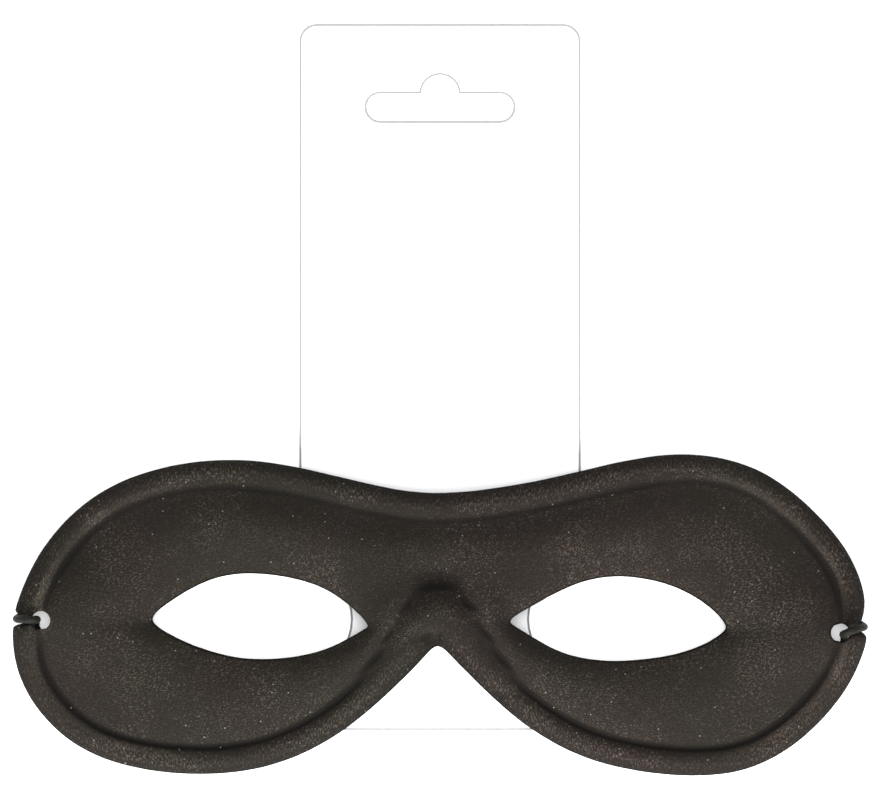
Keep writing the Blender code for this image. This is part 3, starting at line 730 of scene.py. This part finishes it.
def cut_card():
    """Painted edge shade on the card's cut edges and the band beside them: grey, with the layers of the
    bare fibres.
    """
    card = settings("domino_card")
    finish = Finish("white_card_edge", roughness=0.85, specular=0.2)
    x, y, z = finish.parts(finish.place())
    layers = finish.cloud(finish.together(x * 0.3, y * 0.3, z * 3.0), scale=3000.0, detail=3.0)
    pale = tuple(min(1.0, 1.3 * channel) for channel in card.shaded_edge_colour)
    finish.set("Base Color", finish.blend(layers, card.shaded_edge_colour, pale))
    finish.relief(layers, distance=0.00004)
    return finish.material


def floor_paint():
    """The plain pale floor."""
    stage = settings("domino_stage")
    finish = Finish("pale_floor", roughness=0.9, specular=0.1)
    finish.set("Base Color", tuple(stage.floor_colour))
    finish.set("Emission Color", (1.0, 1.0, 1.0))
    finish.set("Emission Strength", stage.glow)
    return finish.material


def smooth_route(points, spacing):
    """A dense line of even steps through the points."""
    spline = bpy.data.curves.new("draft_route", "CURVE")
    spline.dimensions = "3D"
    spline.resolution_u = ROUTE_RESOLUTION
    line = spline.splines.new("BEZIER")
    line.bezier_points.add(len(points) - 1)
    for knot, point in zip(line.bezier_points, points):
        knot.co = point
        knot.handle_left_type = "AUTO"
        knot.handle_right_type = "AUTO"
    draft = bpy.data.objects.new("draft_route", spline)
    bpy.context.scene.collection.objects.link(draft)
    bpy.context.view_layer.update()
    dense = [Vector(vertex.co) for vertex in draft.to_mesh().vertices]
    bpy.data.objects.remove(draft)
    bpy.data.curves.remove(spline)
    reach = np.concatenate([[0.0], np.cumsum([(b - a).length for a, b in zip(dense, dense[1:])])])
    count = max(2, round(reach[-1] / spacing))
    wanted = np.linspace(0.0, reach[-1], count + 1)
    columns = [np.interp(wanted, reach, [place[i] for place in dense]) for i in range(3)]
    return [Vector(place) for place in zip(*columns)]


def line_length(places):
    """The length of a line through its points."""
    return sum((b - a).length for a, b in zip(places, places[1:]))


def tube(name, lines, radius, sides):
    """A mesh tube round each line, with its ends closed and the curve's own map."""
    curve = bpy.data.curves.new(name, "CURVE")
    curve.dimensions = "3D"
    curve.bevel_depth = radius
    curve.bevel_resolution = (sides - 4) // 2
    curve.use_fill_caps = True
    for places, closed in lines:
        line = curve.splines.new("POLY")
        line.points.add(len(places) - 1)
        line.use_cyclic_u = closed
        for point, place in zip(line.points, places):
            point.co = (*place, 1.0)
    draft = bpy.data.objects.new(name, curve)
    bpy.context.scene.collection.objects.link(draft)
    bpy.context.view_layer.update()
    depsgraph = bpy.context.evaluated_depsgraph_get()
    mesh = bpy.data.meshes.new_from_object(draft.evaluated_get(depsgraph))
    bpy.data.objects.remove(draft)
    bpy.data.curves.remove(curve)
    mesh.shade_smooth()
    return mesh


def raise_braid(mesh, length, elastic):
    """Turns a tube's map into turns and metres, and raises the strands of the braid along it."""
    uv_map = mesh.uv_layers.active or mesh.uv_layers.new(name="UVMap")
    corners = np.empty(2 * len(mesh.loops))
    uv_map.data.foreach_get("uv", corners)
    corners = corners.reshape(-1, 2)[:, ::-1] * (1.0, length)
    uv_map.data.foreach_set("uv", corners.ravel())
    owners = np.empty(len(mesh.loops), dtype=np.int32)
    mesh.loops.foreach_get("vertex_index", owners)
    turns = np.zeros(len(mesh.vertices))
    metres = np.zeros(len(mesh.vertices))
    turns[owners], metres[owners] = corners.T
    steps = metres / elastic.braid_pitch
    left = np.abs(np.sin((turns * BRAID_STRANDS + steps) * math.pi))
    right = np.abs(np.sin((turns * BRAID_STRANDS - steps) * math.pi))
    raise_surface(mesh, (np.maximum(left, right) - BRAID_LEVEL) * elastic.braid_relief)


def sort_faces(mesh):
    """Marks each face of the mask as front, back or wall."""
    front = spread([max(mesh.faces, key=lambda face: face.calc_center_median().z)], FACE_TURN)
    under = [face for face in mesh.faces if face.normal.z < LOOKS_DOWN and face not in front]
    back = spread([max(under, key=lambda face: face.calc_area())], FACE_TURN) - front
    for face in mesh.faces:
        face.smooth = True
        face.material_index = FRONT if face in front else BACK if face in back else WALL


def crease_edges(mesh):
    """Keeps the walls' edges and the groove crisp when the mask is subdivided."""
    crease = mesh.edges.layers.float.new("crease_edge")
    for edge in mesh.edges:
        kinds = {face.material_index for face in edge.link_faces}
        if len(kinds) > 1:
            edge[crease] = WALL_CREASE
        elif kinds == {FRONT} and edge.calc_face_angle_signed() < GROOVE_TURN:
            edge[crease] = GROOVE_CREASE


class DOMINO_OT_stage(Operator):
    """Add the pale floor, the soft lights and the camera straight above"""

    bl_idname = "domino.stage"
    bl_label = "Stage"

    def add_light(self, name, place, size, power):
        """A rectangle of light that faces the middle of the object."""
        light = bpy.data.lights.new(name, "AREA")
        light.shape = "RECTANGLE"
        light.size, light.size_y = size
        light.energy = power
        lamp = bpy.data.objects.new(name, light)
        lamp.location = place
        lamp.rotation_euler = (-Vector(place)).to_track_quat("-Z", "Y").to_euler()
        bpy.context.scene.collection.objects.link(lamp)

    def execute(self, context):
        stage = settings("domino_stage")
        scene = context.scene
        mesh = bmesh.new()
        bmesh.ops.create_grid(mesh, x_segments=1, y_segments=1, size=FLOOR_REACH)
        data = bpy.data.meshes.new("floor")
        mesh.to_mesh(data)
        mesh.free()
        data.materials.append(floor_paint())
        floor = bpy.data.objects.new("floor", data)
        scene.collection.objects.link(floor)

        self.add_light("key_from_below", KEY_PLACE, KEY_SIZE, stage.key)
        self.add_light("fill_from_above", FILL_PLACE, FILL_SIZE, stage.fill)

        world = bpy.data.worlds.new("studio")
        world.use_nodes = True
        background = world.node_tree.nodes["Background"]
        background.inputs["Color"].default_value = (1.0, 1.0, 1.0, 1.0)
        background.inputs["Strength"].default_value = stage.sky
        scene.world = world
        scene.view_settings.view_transform = "Standard"

        view = bpy.data.cameras.new("camera")
        view.sensor_fit = "HORIZONTAL"
        view.sensor_width = SENSOR_WIDTH_MM
        view.lens = SENSOR_WIDTH_MM * stage.camera_height * PICTURE_PIXELS_PER_METRE / PICTURE_WIDTH
        view.clip_end = 20.0
        camera = bpy.data.objects.new("camera", view)
        camera.location = (0.0, 0.0, stage.camera_height)
        scene.collection.objects.link(camera)
        scene.camera = camera
        return {"FINISHED"}


class DOMINO_OT_elastic(Operator):
    """Add the braided elastic from knot to knot"""

    bl_idname = "domino.elastic"
    bl_label = "Elastic"

    def execute(self, context):
        elastic = settings("domino_elastic")
        route = smooth_route(ELASTIC_ROUTE, CORD_SPACING)
        mesh = tube("elastic_braid", [(route, False)], elastic.diameter / 2, CORD_SIDES)
        raise_braid(mesh, line_length(route), elastic)
        add_piece("elastic_braid", mesh, [braid()], "elastic_cord")
        return {"FINISHED"}


class DOMINO_OT_knots(Operator):
    """Add the tight knot at each end of the elastic"""

    bl_idname = "domino.knots"
    bl_label = "Knots"

    def tied(self, name, node):
        """A tight round knot with a short cut tail, in the space of its node."""
        low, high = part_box(node)
        middle = (low + high) / 2
        inward = Vector((1.0 if middle.x < 0.0 else -1.0, 1.0, 1.0))
        ring = []
        for i in range(COIL_STEPS):
            turn = 2.0 * math.pi * i / COIL_STEPS
            out = COIL_RADIUS + WEAVE_RADIUS * math.cos(WEAVES * turn)
            ring.append(middle + Vector((
                WEAVE_RADIUS * WEAVE_STRETCH * math.sin(WEAVES * turn),
                out * math.cos(COIL_ROUNDS * turn),
                out * math.sin(COIL_ROUNDS * turn),
            )))
        tail = [middle + inward * (TAIL_START + TAIL_STEP * i) for i in range(TAIL_POINTS)]
        mesh = tube(name, [(ring, True), (tail, False)], STRAND_RADIUS, STRAND_SIDES)
        return add_piece(name, mesh, [knotted_braid()], node)

    def execute(self, context):
        knots = [self.tied("knot_left_tied", "knot_left"), self.tied("knot_right_tied", "knot_right")]
        elastic = settings("domino_elastic")
        line_length(smooth_route(ELASTIC_ROUTE, CORD_SPACING))
        [tuple(place) for place in smooth_route(ELASTIC_ROUTE, PATH_SPACING)]
        return {"FINISHED"}


class DOMINO_OT_mask(Operator):
    """Add the moulded fabric mask"""

    bl_idname = "domino.mask"
    bl_label = "Mask"

    def execute(self, context):
        mask = settings("domino_mask")
        mesh = merged_node("mask_shell")
        bmesh.ops.join_triangles(
            mesh, faces=mesh.faces[:], angle_face_threshold=math.pi, angle_shape_threshold=math.pi,
        )
        mesh.normal_update()
        sort_faces(mesh)
        crease_edges(mesh)
        shell = subdivided(mesh, mask.smoothing)
        heights = [
            noise.noise(vertex.co * BROAD_WAVES) + FINE_SHARE * noise.noise(vertex.co * FINE_WAVES)
            for vertex in shell.vertices
        ]
        raise_surface(shell, mask.unevenness * np.array(heights))
        store_numbers(shell)
        finishes = [face_fabric(), felt_backing(), cut_edge()]
        indices = [polygon.material_index for polygon in shell.polygons]
        piece = add_piece("mask_fabric", shell, finishes, "mask_shell")
        piece.data.polygons.foreach_set("material_index", indices)
        return {"FINISHED"}


class DOMINO_OT_card(Operator):
    """Add the hang card with its soft cut edges"""

    bl_idname = "domino.card"
    bl_label = "Card"

    def execute(self, context):
        card = settings("domino_card")
        mesh = merged_node("hang_card")
        bmesh.ops.dissolve_limit(
            mesh, angle_limit=math.radians(1.0), verts=mesh.verts[:], edges=mesh.edges[:],
        )
        mesh.normal_update()
        broad = {face for face in mesh.faces if abs(face.normal.z) > UPRIGHT}
        rims = [edge for edge in mesh.edges if len(broad.intersection(edge.link_faces)) == 1]
        bmesh.ops.bevel(
            mesh, geom=rims, offset=card.edge_radius, offset_type="OFFSET", segments=2,
            profile=0.5, affect="EDGES", clamp_overlap=True, material=-1,
        )
        mesh.normal_update()
        for face in mesh.faces:
            face.smooth = abs(face.normal.z) < UPRIGHT
            face.material_index = CUT if face.smooth else COATED
        coated = [face for face in mesh.faces if not face.smooth]
        edge_shade_band = bmesh.ops.inset_region(
            mesh, faces=coated, thickness=card.edge_shade_band, use_even_offset=True, use_boundary=True,
        )
        # The band beside each cut edge takes the grey edge finish: painted edge shade.
        for face in edge_shade_band["faces"]:
            face.material_index = CUT
        bmesh.ops.triangulate(mesh, faces=[face for face in mesh.faces if len(face.verts) > 4])
        indices = [face.material_index for face in mesh.faces]
        piece = add_piece("card_board", mesh, [coated_card(), cut_card()], "hang_card")
        piece.data.polygons.foreach_set("material_index", indices)
        return {"FINISHED"}


class DOMINO_PT_sidebar(Panel):
    """Lists the pieces and their settings"""

    bl_idname = "DOMINO_PT_sidebar"
    bl_label = "Domino Mask"
    bl_space_type = "VIEW_3D"
    bl_region_type = "UI"
    bl_category = "Domino Mask"

    def draw(self, context):
        for operator, group in PIECES:
            box = self.layout.box()
            box.operator(operator.bl_idname)
            if group:
                properties = settings(group)
                for name in properties.bl_rna.properties.keys():
                    if name not in ("rna_type", "name"):
                        box.prop(properties, name)


# Each operator in building order, with its group of properties; the knots read the elastic's
PIECES = (
    (DOMINO_OT_stage, "domino_stage"),
    (DOMINO_OT_elastic, "domino_elastic"),
    (DOMINO_OT_knots, None),
    (DOMINO_OT_mask, "domino_mask"),
    (DOMINO_OT_card, "domino_card"),
)
GROUPS = {
    "domino_mask": MaskProperties,
    "domino_elastic": ElasticProperties,
    "domino_card": CardProperties,
    "domino_stage": StageProperties,
}


def register():
    for name, group in GROUPS.items():
        bpy.utils.register_class(group)
        setattr(bpy.types.Scene, name, PointerProperty(type=group))
    for operator, _ in PIECES:
        bpy.utils.register_class(operator)
    bpy.utils.register_class(DOMINO_PT_sidebar)


def unregister():
    bpy.utils.unregister_class(DOMINO_PT_sidebar)
    for operator, _ in reversed(PIECES):
        bpy.utils.unregister_class(operator)
    for name, group in GROUPS.items():
        delattr(bpy.types.Scene, name)
        bpy.utils.unregister_class(group)


def main():
    register()
    for operator, _ in PIECES:
        category, name = operator.bl_idname.split(".")
        getattr(getattr(bpy.ops, category), name)()


if __name__ == "__main__":
    main()
